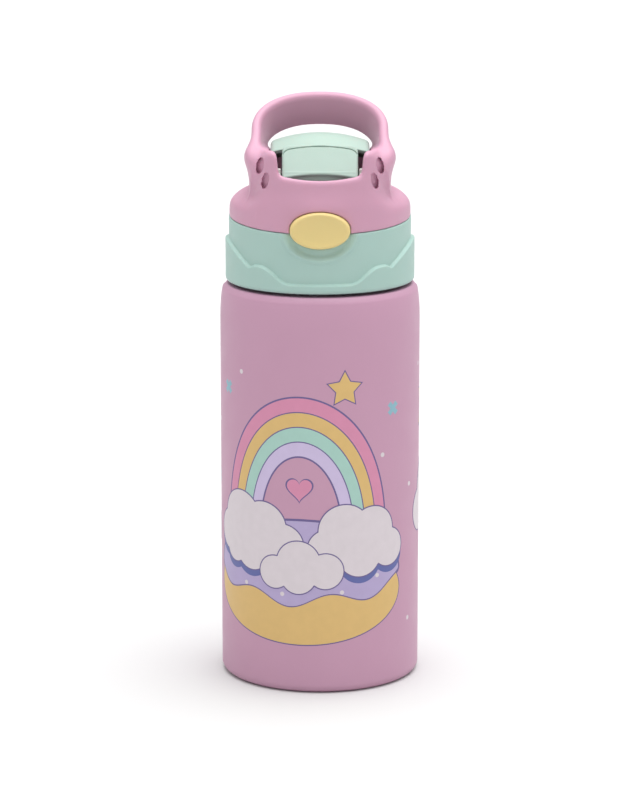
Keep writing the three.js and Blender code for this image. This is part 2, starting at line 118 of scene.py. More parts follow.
BUTTON_GAP = 0.22
SPOUT_Y = -7.0
SPOUT_TOP = 194.5
HOUSING_TOP = 177
STRAW_BOTTOM = 11
STRAW_TOP = 159.5
PAD_BOTTOM = 194.8
PAD_TOP = 196.2
BUTTON_Z = 169.7
BUTTON_HALF_W = 10.75
BUTTON_HALF_H = 6.55
BUTTON_BACK = -30.3
SPRING_SEAT_Y = -15.5
DISH_HALF_W = 12.8
DISH_HALF_H = 10.4
DISH_DEPTH = 1.0
PITCH = 4.0
VENT = (-7.9, -3.2)

ROUND = 256
FINE = 64


# ---- procedural finishes ------------------------------------------------------------------------

def srgb(r, g, b):
    """Linear colour from 8-bit display values."""
    def linear(v):
        v /= 255
        return v / 12.92 if v <= 0.04045 else ((v + 0.055) / 1.055) ** 2.4
    return (linear(r), linear(g), linear(b), 1.0)


class Finish:
    """A node material: a Principled shader with grain, mottling, roughness variation and worn edges."""

    def __init__(self, name, color, roughness, metallic=0.0, specular=0.5):
        self.material = bpy.data.materials.new(name)
        self.material.use_nodes = True
        self.tree = self.material.node_tree
        self.shader = self.tree.nodes["Principled BSDF"]
        self.shader.inputs["Metallic"].default_value = metallic
        self.shader.inputs["Specular IOR Level"].default_value = specular
        self.color = color
        self.roughness = roughness
        self.place = self.node("ShaderNodeTexCoord").outputs["Object"]
        self.tint = None

    def node(self, kind, **settings):
        made = self.tree.nodes.new(kind)
        for key, value in settings.items():
            setattr(made, key, value)
        return made

    def link(self, a, b):
        self.tree.links.new(a, b)

    def noise(self, scale, detail=2.0, stretch=None):
        source = self.place
        if stretch:
            mapping = self.node("ShaderNodeMapping")
            mapping.inputs["Scale"].default_value = stretch
            self.link(source, mapping.inputs["Vector"])
            source = mapping.outputs["Vector"]
        made = self.node("ShaderNodeTexNoise")
        made.inputs["Scale"].default_value = scale
        made.inputs["Detail"].default_value = detail
        self.link(source, made.inputs["Vector"])
        return made.outputs["Fac"]

    def ranged(self, value, from_low, from_high, to_low, to_high):
        made = self.node("ShaderNodeMapRange")
        limits = {"From Min": from_low, "From Max": from_high, "To Min": to_low, "To Max": to_high}
        for key, number in limits.items():
            made.inputs[key].default_value = number
        self.link(value, made.inputs["Value"])
        return made.outputs["Result"]

    def mixed(self, a, b, factor):
        """Mixes colours a and b, each a socket or a constant, by a socket factor."""
        made = self.node("ShaderNodeMix", data_type="RGBA")
        for socket, value in ((made.inputs[6], a), (made.inputs[7], b)):
            if hasattr(value, "node"):
                self.link(value, socket)
            else:
                socket.default_value = value
        self.link(factor, made.inputs[0])
        return made.outputs[2]

    def scaled(self, color, share):
        return (*(min(1.0, c * share) for c in color[:3]), 1.0)

    def mottle(self, scale, depth):
        """Slow colour variation of plus and minus depth."""
        factor = self.ranged(self.noise(scale, 3.0), 0.3, 0.7, 0.0, 1.0)
        self.tint = self.mixed(self.scaled(self.color, 1 - depth), self.scaled(self.color, 1 + depth), factor)
        return self

    def specks(self, scale, share, amount):
        """Small marks, lighter or darker by share, over the densest part of a noise."""
        factor = self.ranged(self.noise(scale, 1.0), 0.64, 0.72, 0.0, amount)
        self.tint = self.mixed(self.tint, self.scaled(self.color, share), factor)
        return self

    def worn(self, share, amount):
        """Rubbed convex edges."""
        point = self.node("ShaderNodeNewGeometry").outputs["Pointiness"]
        factor = self.ranged(point, 0.52, 0.60, 0.0, amount)
        self.tint = self.mixed(self.tint, self.scaled(self.color, share), factor)
        return self

    def gloss(self, scale, spread, stretch=None):
        """Roughness that wanders by spread."""
        value = self.ranged(self.noise(scale, 3.0, stretch), 0.3, 0.7,
                            self.roughness - spread, self.roughness + spread)
        self.link(value, self.shader.inputs["Roughness"])
        return self

    def grain(self, scale, height, stretch=None):
        """Fine surface grain, height in millimetres."""
        bump = self.node("ShaderNodeBump")
        bump.inputs["Strength"].default_value = 1.0
        bump.inputs["Distance"].default_value = height * MM
        self.link(self.noise(scale, 2.0, stretch), bump.inputs["Height"])
        previous = self.shader.inputs["Normal"]
        if previous.is_linked:
            self.link(previous.links[0].from_socket, bump.inputs["Normal"])
        self.link(bump.outputs["Normal"], self.shader.inputs["Normal"])
        return self

    def done(self):
        self.link(self.tint, self.shader.inputs["Base Color"])
        return self.material


def plastic(name, color, roughness=0.45, subsurface=0.0):
    """Moulded plastic: fine texture, faint specks and lighter rubbed edges."""
    made = Finish(name, color, roughness, specular=0.4)
    made.mottle(60, 0.015).specks(1400, 0.9, 0.10).worn(1.1, 0.25)
    made.gloss(220, 0.05).grain(2600, 0.012).grain(240, 0.02)
    if subsurface:
        made.shader.inputs["Subsurface Weight"].default_value = subsurface
        made.shader.inputs["Subsurface Radius"].default_value = (1.0, 0.5, 0.4)
        made.shader.inputs["Subsurface Scale"].default_value = 1.2 * MM
    return made.done()


def coat(name, color):
    """Powder coat: fine orange peel, faint handling marks."""
    made = Finish(name, color, 0.46, specular=0.42)
    made.mottle(40, 0.012).specks(900, 1.12, 0.10).worn(1.12, 0.3)
    made.gloss(120, 0.05).grain(1500, 0.02).grain(500, 0.015)
    return made.done()


def ink(name, color):
    """Printed ink, a little smoother than the coat under it."""
    made = Finish(name, color, 0.42, specular=0.42)
    made.mottle(300, 0.02).specks(2400, 0.93, 0.15)
    made.gloss(260, 0.05).grain(1500, 0.012)
    return made.done()


def metal(name, color, roughness, stretch):
    """Bare steel with brushing drawn out by stretch."""
    made = Finish(name, color, roughness, metallic=1.0)
    made.mottle(80, 0.03).specks(1200, 0.85, 0.1).worn(1.15, 0.3)
    made.gloss(500, 0.07, stretch).grain(900, 0.0015, stretch)
    return made.done()


def rubber(name, color, roughness=0.5):
    """Soft silicone that lets a little light in."""
    made = Finish(name, color, roughness, specular=0.35)
    made.mottle(90, 0.02).specks(1800, 0.85, 0.12).worn(1.06, 0.2)
    made.gloss(300, 0.06).grain(2000, 0.01)
    made.shader.inputs["Subsurface Weight"].default_value = 0.25
    made.shader.inputs["Subsurface Radius"].default_value = (1.0, 0.95, 0.9)
    made.shader.inputs["Subsurface Scale"].default_value = 1.5 * MM
    return made.done()


def clear(name, color):
    """Clear plastic, slightly frosted."""
    made = Finish(name, color, 0.18)
    made.mottle(90, 0.02).specks(1500, 0.9, 0.1)
    made.gloss(300, 0.05).grain(700, 0.008)
    made.shader.inputs["Transmission Weight"].default_value = 0.75
    made.shader.inputs["IOR"].default_value = 1.46
    return made.done()


PINK_COAT = coat("pink_powder_coat", srgb(190, 146, 170))
PINK = plastic("pink_plastic", srgb(200, 151, 174), 0.46, 0.1)
MINT = plastic("mint_plastic", srgb(163, 193, 185), 0.48, 0.1)
PALE_MINT = plastic("pale_mint_plastic", srgb(163, 185, 174), 0.48, 0.1)
YELLOW = plastic("yellow_plastic", srgb(222, 199, 134), 0.42, 0.1)
GREY = plastic("grey_plastic", srgb(214, 211, 206), 0.5)
BRUSHED = metal("brushed_steel", srgb(196, 198, 202), 0.3, (1.0, 1.0, 14.0))
SPRING = metal("spring_steel", srgb(170, 172, 176), 0.26, (1.0, 1.0, 1.0))
SILICONE = rubber("silicone", srgb(232, 230, 224))
CLEAR = clear("clear_plastic", srgb(230, 238, 236))


# ---- meshes -------------------------------------------------------------------------------------

def add_piece(name, points, faces, material, body, slot=None, nodes=()):
    """Makes a smooth-shaded closed mesh from points in millimetres, facing outwards, riding on a CAD body."""
    points = np.asarray(points, float)
    mesh = bpy.data.meshes.new(name)
    mesh.from_pydata((points * MM).tolist(), [], [list(map(int, f)) for f in faces])
    mesh.update()
    turn_outwards(mesh)
    mesh.shade_smooth()
    mesh.set_sharp_from_angle(angle=math.radians(38))
    mesh.materials.append(material)
    piece = bpy.data.objects.new(name, mesh)
    bpy.context.scene.collection.objects.link(piece)
    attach(piece, body)
    if nodes:
        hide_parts(*nodes)
    return piece


def turn_outwards(mesh):
    """Reverses the faces of a closed mesh whose volume is negative."""
    made = bmesh.new()
    made.from_mesh(mesh)
    if made.calc_volume(signed=True) < 0:
        bmesh.ops.reverse_faces(made, faces=made.faces)
        made.to_mesh(mesh)
    made.free()


def combined(*shells):
    """Several (points, faces) shells as one."""
    points, faces, base = [], [], 0
    for p, f in shells:
        points.append(np.asarray(p, float))
        faces += [[i + base for i in face] for face in f]
        base += len(p)
    return np.concatenate(points), faces


def rounded(outline, radius, steps=5):
    """An open outline with its inner corners rounded; radius is one number or one per point."""
    radii = radius if hasattr(radius, "__len__") else [radius] * len(outline)
    made = [outline[0]]
    for i in range(1, len(outline) - 1):
        a, b, c = (np.array(outline[k], float) for k in (i - 1, i, i + 1))
        before, after = a - b, c - b
        la, lc = np.linalg.norm(before), np.linalg.norm(after)
        before, after = before / la, after / lc
        half = math.acos(float(np.clip(before @ after, -1, 1))) / 2
        reach = min(radii[i] / math.tan(half), 0.45 * la, 0.45 * lc) if radii[i] else 0
        if reach < 1e-3 or half > 1.54:
            made.append(tuple(b))
            continue
        start, end = b + before * reach, b + after * reach
        support = min(0.35 * reach, 0.2)
        made.append(tuple(start + before * support))
        for k in range(steps + 1):
            t = k / steps
            blend = (1 - t) ** 2 * start + 2 * t * (1 - t) * b + t ** 2 * end
            made.append(tuple(blend))
        made.append(tuple(end + after * support))
    made.append(outline[-1])
    return made


def turned(outline, segments=ROUND, centre=(0.0, 0.0)):
    """A closed shell turned about a vertical axis; its outline runs from axis to axis, or closes."""
    loop = outline[0] == outline[-1]
    profile = outline[:-1] if loop else outline
    points, rings = [], []
    for r, z in profile:
        if r < 1e-6:
            rings.append([len(points)] * segments)
            points.append((centre[0], centre[1], z))
            continue
        rings.append(list(range(len(points), len(points) + segments)))
        for k in range(segments):
            a = 2 * math.pi * k / segments
            points.append((centre[0] + r * math.cos(a), centre[1] + r * math.sin(a), z))
    if loop:
        rings.append(rings[0])
    faces = []
    for a, b in zip(rings, rings[1:]):
        for k in range(segments):
            m = (k + 1) % segments
            face = [a[k], a[m], b[m], b[k]]
            face = [v for i, v in enumerate(face) if v != face[i - 1]]
            if len(face) > 2:
                faces.append(face)
    return np.array(points), faces


def swept(path, radius, sides=12):
    """A closed round tube along a path of points."""
    path = np.asarray(path, float)
    along = np.gradient(path, axis=0)
    along /= np.linalg.norm(along, axis=1)[:, None]
    side = np.cross(along[0], (0.0, 0.0, 1.0) if abs(along[0][2]) < 0.9 else (1.0, 0.0, 0.0))
    side /= np.linalg.norm(side)
    points = []
    for p, t in zip(path, along):
        side = side - (side @ t) * t
        side /= np.linalg.norm(side)
        up = np.cross(t, side)
        for k in range(sides):
            a = 2 * math.pi * k / sides
            points.append(p + radius * (math.cos(a) * side + math.sin(a) * up))
    faces = []
    for i in range(len(path) - 1):
        for k in range(sides):
            m = (k + 1) % sides
            faces.append([i * sides + k, i * sides + m, (i + 1) * sides + m, (i + 1) * sides + k])
    faces.append(list(range(sides))[::-1])
    faces.append([(len(path) - 1) * sides + k for k in range(sides)])
    return np.array(points), faces


# ---- smooth solids from distance fields ---------------------------------------------------------

def soft_min(a, b, k):
    """The union of fields a and b, filleted over k."""
    h = np.clip(0.5 + 0.5 * (b - a) / k, 0, 1)
    return b + (a - b) * h - k * h * (1 - h)


def soft_max(a, b, k):
    """The common part of fields a and b, its edge rounded over k."""
    return -soft_min(-a, -b, k)


def cut(a, b, k=0.4):
    """a without b, the new edge rounded by k."""
    return soft_max(a, -b, k)


def ease(value, low, high):
    """A smooth step from 0 at low to 1 at high."""
    t = np.clip((value - low) / (high - low), 0, 1)
    return t * t * (3 - 2 * t)


def edge(u, v, p, q):
    """Distance from the line p to q, positive on its left."""
    du, dv = q[0] - p[0], q[1] - p[1]
    length = math.hypot(du, dv)
    return ((v - p[1]) * du - (u - p[0]) * dv) / length


def block(x, y, z, low, high, k=0.5):
    """A box between two corners, its edges rounded over k."""
    spans = [np.abs(c - (a + b) / 2) - (b - a) / 2 for c, a, b in zip((x, y, z), low, high)]
    return soft_max(soft_max(spans[0], spans[1], k), spans[2], k)


def solid(field, low, high, voxel):
    """A closed quad mesh of the zero surface of a field, its vertices then moved onto that surface."""
    low = np.array(low, float) - 2.5 * voxel
    count = np.ceil((np.array(high, float) + 2.5 * voxel - low) / voxel).astype(int) + 1
    axes = [low[k] + voxel * np.arange(count[k]) for k in range(3)]
    x, y, z = np.meshgrid(*axes, indexing="ij", sparse=True)
    values = np.clip(np.broadcast_to(field(x, y, z), tuple(count)), -3 * voxel, 3 * voxel)
    grid = openvdb.FloatGrid(3 * voxel)
    grid.copyFromArray(np.ascontiguousarray(values, np.float32))
    points, triangles, quads = grid.convertToPolygons(isovalue=0.0, adaptivity=0.0)
    points = points.astype(float) * voxel + low
    h = 0.02
    for _ in range(4):
        px, py, pz = points.T
        value = field(px, py, pz)
        slope = np.stack([
            field(px + h, py, pz) - field(px - h, py, pz),
            field(px, py + h, pz) - field(px, py - h, pz),
            field(px, py, pz + h) - field(px, py, pz - h),
        ], axis=1) / (2 * h)
        step = slope * (value / np.maximum((slope ** 2).sum(1), 0.05))[:, None]
        length = np.linalg.norm(step, axis=1)
        points -= step * np.minimum(1, 0.4 * voxel / np.maximum(length, 1e-9))[:, None]
    return points, [*triangles.tolist(), *quads.tolist()]


# ---- bottle -------------------------------------------------------------------------------------

def arc(cx, cy, r, start, end, steps):
    """Points on a circle, angles in degrees."""
    angles = [math.radians(start + (end - start) * i / steps) for i in range(steps + 1)]
    return [(cx + r * math.cos(a), cy + r * math.sin(a)) for a in angles]


def shoulder():
    """The slow pull-in of the body under its top edge."""
    made = []
    for i in range(14):
        t = 0.87 * i / 13
        made.append((BODY_R - SHOULDER_DROP * (1 - math.sqrt(1 - t * t)), SHOULDER_START + t * 13))
    return made


def make_bottle():
    """The coated wall, the steel liner and the pieces of the base."""
    corner = BASE_CORNER
    outer = [
        (24.0, 0.0), (26.0, 0.0), (BODY_R - corner - 0.4, 0.0),
        *arc(BODY_R - corner, corner, corner, -90, 0, 14),
        *[(BODY_R, z) for z in (3.4, 10, 40, 70, 100, 125)],
        *shoulder(),
        *arc(33.7, 144.75, 1.05, 25, 90, 6),
        (33.2, BODY_TOP), (29.0, BODY_TOP), (28.3, BODY_TOP - 0.1), (NECK_R + 0.05, BODY_TOP - 0.3),
        (NECK_R + 0.05, BODY_TOP - STEEL), (33.4, BODY_TOP - STEEL), (34.6, BODY_TOP - 1.8),
        (BODY_R - STEEL, SHOULDER_START), (BODY_R - STEEL, 3.2),
        *arc(BODY_R - corner, corner, corner - STEEL, 0, -90, 8),
        (24.4, STEEL), (24.0, 0.35), (24.0, 0.0),
    ]
    add_piece("body_coat", *turned(outer), PINK_COAT, "bottle", "pink_coat", ["outer_shell"])

    liner = [
        (0.0, LINER_BASE), (28.0, LINER_BASE), (30.8, LINER_BASE), *arc(30.8, 10.2, 3, -90, 0, 8),
        (LINER_R, 60.0), (LINER_R, 120.0),
        *rounded([(LINER_R, 130.0), (LINER_R, 136.0), (32.5, 140.5), (29.5, 143.4), (NECK_R, 144.2),
                  (NECK_R, 152.0)], 1.5),
        *rounded([(NECK_R, 156.0), (NECK_R, NECK_TOP), (MOUTH_R, NECK_TOP), (MOUTH_R, 156.0)], 0.35),
        *rounded([(MOUTH_R, 152.0), (MOUTH_R, 144.3), (28.8, 142.6), (31.9, 140.0),
                  (LINER_R - STEEL, 135.7), (LINER_R - STEEL, 120.0)], 1.5),
        (LINER_R - STEEL, 60.0), *arc(30.8, 10.2, 2.4, 0, -90, 8), (0.0, LINER_BASE + STEEL),
    ]
    shell = combined(turned(liner), helix(NECK_R + 0.1, 151.0))
    add_piece("inner_liner_steel", *shell, BRUSHED, "bottle", "steel", ["inner_liner"])

    disc = rounded([(0, 1.9), (4.2, 1.9), (5.2, STEEL), (26, STEEL), (26, 1.6), (5.6, 1.6), (4.6, 2.7),
                    (0, 2.7)], 0.3)
    add_piece("vacuum_base_disc_steel", *turned(disc, 128), BRUSHED, "bottle", "steel", ["vacuum_base_disc"])

    plate = [
        (0, 0.30), (5, 0.30), (5.6, 0.22), (6.4, 0.2), (7.2, 0.22), (7.8, 0.30), (18, 0.30), (18.8, 0.22),
        (19.6, 0.2), (20.4, 0.22), (21.2, 0.30), (23.3, 0.30), (23.6, 0.36), (23.7, 0.48),
        (23.7, STEEL), (0, STEEL),
    ]
    add_piece("base_plate_steel", *turned(plate, 192), BRUSHED, "bottle", "steel", ["base_plate"])

    pill = rounded([(0, 1.6), (3, 1.6), (3, 4.6), (0, 4.6)], 0.5)
    add_piece("getter_capsule", *turned(pill, 48, (14.0, 0.0)), SPRING, "bottle", "steel", ["getter_pill"])


def helix(radius, start, turns=1.25, thick=1.05):
    """A thread ridge whose ends die into the wall."""
    path = []
    for i in range(121):
        t = i / 120
        a = 2 * math.pi * turns * t
        sink = 1.2 * (1 - min(1.0, 12 * min(t, 1 - t))) ** 2
        inward = -1 if radius < 29 else 1
        r = radius + inward * sink
        path.append((r * math.cos(a), r * math.sin(a), start + PITCH * turns * t))
    return swept(path, thick, 14)


# ---- lid body -----------------------------------------------------------------------------------

def wave(a, height, centre, rate):
    """One hump of a cosine at an angle in degrees, below zero beyond the hump's ends."""
    return height * np.cos(np.clip(np.radians(rate * (a - centre)), -2.2, 2.2))


def relief(x, y):
    """Height of the relief line round the collar: level in front, a small wave, then a high one."""
    a = np.degrees(np.arctan2(np.abs(x), -y))
    a = np.minimum(a, 180 - a)
    low = wave(a, **SMALL_WAVE)
    return RELIEF_LEVEL + np.maximum(soft_max(low, 0 * low, 2.2), wave(a, **LARGE_WAVE))


def seam(y):
    """Height of the sloping seam between the collar and the top cover."""
    return SEAM_Z + SEAM_SLOPE * y


def button_hole(x, y, z, gap):
    """An oval tunnel round the button's axis."""
    a, b = BUTTON_HALF_W + gap, BUTTON_HALF_H + gap
    q = np.sqrt((x / a) ** 2 + ((z - BUTTON_Z) / b) ** 2) + 1e-9
    slope = np.sqrt((x / a ** 2) ** 2 + ((z - BUTTON_Z) / b ** 2) ** 2) / q
    return np.maximum((q - 1) / np.maximum(slope, 1e-3), y + 26)


def collar_field(x, y, z):
    """The collar's two steps, its relief line and the dish round the button."""
    r = np.hypot(x, y)
    step = ease(z - relief(x, y), -0.32, 0.32)
    q = np.hypot(x / DISH_HALF_W, (z - BUTTON_Z) / DISH_HALF_H)
    dish = np.where(y < 0, DISH_DEPTH * (1 - ease(q, 0.84, 1.02)), 0)
    lip = np.where(y < 0, 0.5 * np.exp(-((q - 1.07) / 0.06) ** 2), 0)
    outer = r - (COLLAR_LOWER_R + (COLLAR_UPPER_R - COLLAR_LOWER_R) * step) + dish - lip
    f = soft_max(outer, COLLAR_BOTTOM - z, 1.6)
    f = soft_max(f, z - (seam(y) - SEAM_GAP / 2), 0.4)
    f = cut(f, button_hole(x, y, z, BUTTON_GAP), 0.3)
    return np.maximum(f, COLLAR_BORE_R - r)


def make_lid_body():
    """The collar, the threaded core, the gasket and the air valve."""
    r = COLLAR_LOWER_R
    shell = solid(collar_field, (-r, -r, COLLAR_BOTTOM), (r, r, 174.0), 0.42)
    add_piece("collar_shell", *shell, MINT, "lid", "mint_plastic", ["collar"])

    def core_field(x, y, z):
        r = np.hypot(x, y)
        f = soft_max(r - CORE_R, np.maximum(CORE_BOTTOM - z, z - DECK_TOP), 0.6)
        f = cut(f, soft_max(r - CORE_BORE_R, z - DECK_BOTTOM, 0.5), 0.3)
        f = cut(f, np.hypot(x, y - SPOUT_Y) - 4.3, 0.3)
        f = cut(f, np.hypot(x - VENT[0], y - VENT[1]) - 1.6, 0.2)
        return cut(f, button_hole(x, y, z, 0.3), 0.2)

    core = solid(core_field, (-CORE_R, -CORE_R, CORE_BOTTOM), (CORE_R, CORE_R, DECK_TOP), 0.6)
    thread = helix(29.55, 149.0)
    add_piece("lid_core_ring", *combined(core, thread), MINT, "lid", "mint_plastic", ["lid_core"])

    ring = [(26.9, NECK_TOP), (28.8, NECK_TOP), *arc(28.8, 160.4, 0.4, -90, 0, 4), (29.2, 161.6),
            *arc(28.8, 161.6, 0.4, 0, 90, 4), (27.0, DECK_BOTTOM), *arc(27.0, 161.6, 0.4, 90, 180, 4),
            (26.6, 160.4), *arc(27.0, 160.4, 0.4, 180, 270, 4)[:-1], (26.9, NECK_TOP)]
    add_piece("lid_gasket_ring", *turned(ring, 192), SILICONE, "gasket", "silicone", ["lid_gasket"])

    valve = rounded([(0, 160.8), (2.2, 160.8), (2.2, 161.6), (1.3, 161.6), (1.3, DECK_TOP), (3.2, DECK_TOP),
                     (2.6, DECK_TOP + 0.9), (0, DECK_TOP + 1.1)], 0.2)
    add_piece("vent_valve_silicone", *turned(valve, 40, VENT), SILICONE, "lid", "silicone", ["vent_valve"])


def housing_field(x, y, z):
    """The open box under the spout, with a post beside each end of the front block."""
    ax = np.abs(x)
    f = block(x, y, z, (-13, SPRING_SEAT_Y, DECK_TOP), (13, 2, HOUSING_TOP), 0.9)
    f = cut(f, block(x, y, z, (-11.4, -13.9, 150), (11.4, 0.4, 175.4), 0.6), 0.3)
    f = cut(f, np.hypot(x, y - SPOUT_Y) - 4.3, 0.4)
    foot = block(ax, y, z, (12.4, -22.5, DECK_TOP), (15.2, -14, 168), 0.4)
    post = block(ax, y, z, (14.0, -22.5, DECK_TOP), (15.2, -19, 190.1), 0.4)
    post = cut(post, block(ax, y, z, (13.0, -24, 188.4), (16, -20.9, 200), 0.3), 0.3)
    return np.minimum(f, soft_min(foot, post, 0.4))


def make_spout():
    """The housing, the spout and the straw under it."""
    housing = solid(housing_field, (-15.3, -22.6, DECK_TOP), (15.3, 2.1, 190.2), 0.34)
    add_piece("spout_housing_block", *housing, GREY, "lid", "grey_plastic", ["spout_housing"])

    tube = [(2.2, 168), (4, 168), (4, 177), (5.8, 177), (5.8, 178.4), (4, 179.4), (3.8, 188), (4.3, 192),
            (3.9, 194.1), (3.2, SPOUT_TOP), (2.2, SPOUT_TOP), (2.2, 190), (2.2, 168)]
    radii = [0, 0.2, 0.3, 0.4, 0.5, 1, 4, 1.2, 0.6, 0.3, 0.3, 0, 0]
    tube = [*rounded([*tube[:-1], (2.2, 168.01)], radii)[:-1], tube[0]]
    add_piece("spout_silicone", *turned(tube, FINE, (0.0, SPOUT_Y)), SILICONE, "lid", "silicone", ["spout"])

    joint = [(1.3, 149), (2.3, 149), (2.3, 160.4), (4, 160.4), (4, DECK_TOP), (5.2, DECK_TOP),
             (5.2, DECK_TOP + 1), (1.9, DECK_TOP + 1), (1.9, 174), (1.3, 174), (1.3, 149)]
    joint = [*rounded([*joint[:-1], (1.3, 149.01)], 0.2)[:-1], joint[0]]
    add_piece("straw_joint", *turned(joint, FINE, (0.0, SPOUT_Y)), CLEAR, "lid", "clear_plastic",
              ["straw_connector"])

    levels = (STRAW_BOTTOM, 60, 110, STRAW_TOP)
    pipe = [(2.6, STRAW_BOTTOM), *[(3.4, z) for z in levels], *[(2.6, z) for z in levels[::-1]]]
    add_piece("straw_tube", *turned(pipe, FINE, (0.0, SPOUT_Y)), CLEAR, "lid", "clear_plastic", ["straw"])


# ---- top cover with its handle ------------------------------------------------------------------

def dome_field(r, z):
    """Outside of the cover's low dome: a wall, a sloping shelf, then a level top."""
    shelf = SHELF_NORMAL[0] * (r - SHELF_POINT[0]) + SHELF_NORMAL[1] * (z - SHELF_POINT[1])
    return soft_max(soft_max(r - COVER_R, shelf, 2.2), z - DOME_TOP, 3.0)


def flare(z):
    """Half width of the cover's ears at a height, the same curve as the swelling of the handle's feet."""
    spread = np.where(z < EAR_SWELL_Z, 5.2, 4.3)
    return EAR_HALF + EAR_SWELL * np.exp(-((z - EAR_SWELL_Z) / spread) ** 2)


def arch(x, s, half, rise, swell, n=2.22, straight=17.0):
    """Distance outside a squarish arch whose legs are wider by swell."""
    ax = np.abs(x)
    leg = ax - (half + swell)
    u, v = ax / half, np.maximum(s - straight, 0) / rise
    q = (u ** n + v ** n) ** (1 / n) + 1e-9
    slope = q ** (1 - n) * np.sqrt((u ** (n - 1) / half) ** 2 + (v ** (n - 1) / rise) ** 2)
    crown = (q - 1) / np.maximum(slope, 1e-3)
    return np.where(s > straight, crown, leg)


def handle_field(x, y, z):
    """The leaning loop: s runs up the loop and t through its depth."""
    c, d = math.cos(HANDLE_LEAN), math.sin(HANDLE_LEAN)
    dy, dz = y - HANDLE_FOOT[0], z - HANDLE_FOOT[1]
    s, t = dy * c + dz * d, dz * c - dy * d
    swell = (flare(z) - EAR_HALF) * (1 - ease(s, 9.0, 16.5))
    draft = np.clip(-t / HANDLE_DEPTH, 0, 1)
    inner = arch(x, s, HANDLE_INNER[0] - 1.7 * draft, HANDLE_INNER[1] - 0.7 * draft, 0.0)
    band = cut(arch(x, s, *HANDLE_OUTER, swell), inner, 2.0)
    f = soft_max(soft_max(band, t, 2.2), -t - HANDLE_DEPTH, 1.0)
    f = soft_max(f, np.hypot(x, y) - PLAN_R + 0.4, 2.5)
    return np.maximum(f, -4 - s)


def tower_field(x, y, z):
    """The block that the ears and the well are cut from, and its front plane."""
    ax, r = np.abs(x), np.hypot(x, y)
    front = edge(y, z, (-32.9, 171.5), (-31.9, 187.0))
    top = np.maximum(edge(y, z, (-19, 196.9), (20, 191.8)), z - 197.2)
    f = soft_max(front, r - PLAN_R, 3.0)
    f = soft_max(f, ax - flare(z), 4.0 + 5.0 * ease(-y, 8, 20))
    f = soft_max(f, top, 3.0 + 4.0 * ease(ax, 18, 22))
    return soft_max(f, y - TOWER_BACK, 3.0), front


def well_field(x, y, z, front):
    """The space that the flip cover, spout and latch stand in."""
    ax, r = np.abs(x), np.hypot(x, y)
    roll = np.hypot(y - PIVOT[0], z - PIVOT[1]) - WELL_R
    ahead = np.maximum(front + 2.2, y - PIVOT[0])
    below = np.maximum(np.maximum(y - 14, z - 176.5), front + 2.2)
    hollow = np.minimum(np.minimum(roll, ahead), below)
    return soft_max(np.maximum(ax - WELL_HALF, hollow), r - 29.4, 0.8)


def notch_field(x, y, z):
    """The gap between the ears that the front block closes."""
    ax = np.abs(x)
    side = ax - (14.6 + 0.08 * np.clip(z - 188, -2, 12))
    rim = NOTCH_Z + 0.7 * (x / 11) ** 2 - z
    return np.maximum(soft_max(side, rim, 2.4), y + 20)


def pocket(x, y, z, surface, centre, half, deep):
    """A slanted oval recess in the front of each ear, deeper towards the middle of the cover."""
    lean = 0.22
    du, dz = np.abs(x) - centre[0], z - centre[1]
    u, w = du * math.cos(lean) + dz * math.sin(lean), dz * math.cos(lean) - du * math.sin(lean)
    q = np.hypot(u / half[0], w / half[1]) + 1e-9
    slope = np.hypot(u / half[0] ** 2, w / half[1] ** 2) / q
    depth = deep - 0.4 * np.clip(u / half[0], -1, 1)
    return np.maximum(np.maximum((q - 1) / np.maximum(slope, 1e-3), -(surface + depth)), y + 10)


def cover_field(x, y, z):
    """Dome, tower and loop in one moulding, with the well, notch, pockets and pin holes."""
    ax, r = np.abs(x), np.hypot(x, y)
    dome = dome_field(r, z)
    dome = np.maximum(dome, -(dome + 2.2))
    tower, front = tower_field(x, y, z)
    tower = soft_max(tower, 172.5 - z, 0.5)
    f = soft_min(dome, tower, 1.8 + 4.2 * ease(-y, 12, 26))
    f = outside = soft_max(f, r - COVER_R, 0.8)
    f = cut(f, well_field(x, y, z, front), 0.7)
    f = cut(f, notch_field(x, y, z), 2.2)
    f = soft_min(f, handle_field(x, y, z), 3.0)
    f = cut(f, pocket(x, y, z, outside, (21.3, 191.6), (1.3, 3.0), 0.8), 0.25)
    f = cut(f, pocket(x, y, z, outside, (19.4, 186.5), (1.2, 3.1), 1.4), 0.25)
    f = cut(f, np.maximum(np.hypot(y - PIVOT[0], z - PIVOT[1]) - PIN_HOLE_R, ax - PIN_OUT - 0.3), 0.2)
    f = soft_max(f, seam(y) + SEAM_GAP / 2 - z, 0.4)
    return cut(f, button_hole(x, y, z, BUTTON_GAP), 0.4)


def make_top_cover():
    """The top cover and the flip cover's two pins."""
    shell = solid(cover_field, (-33.1, -33.1, 167.5), (33.1, 33.1, 214.5), 0.42)
    add_piece("top_cover_shell", *shell, PINK, "lid", "pink_plastic", ["top_cover"])
    for side, name in ((-1, "left"), (1, "right")):
        outline = rounded([(0, PIN_IN), (PIN_R, PIN_IN), (PIN_R, PIN_OUT), (0, PIN_OUT)], 0.3)
        points, faces = turned(outline, 40)
        pin = np.stack([side * points[:, 2], PIVOT[0] + points[:, 0], PIVOT[1] + points[:, 1]], axis=1)
        add_piece(f"pivot_pin_{name}_steel", pin, faces, SPRING, "lid", "steel", [f"pivot_pin_{name}"])


# ---- flip cover ---------------------------------------------------------------------------------

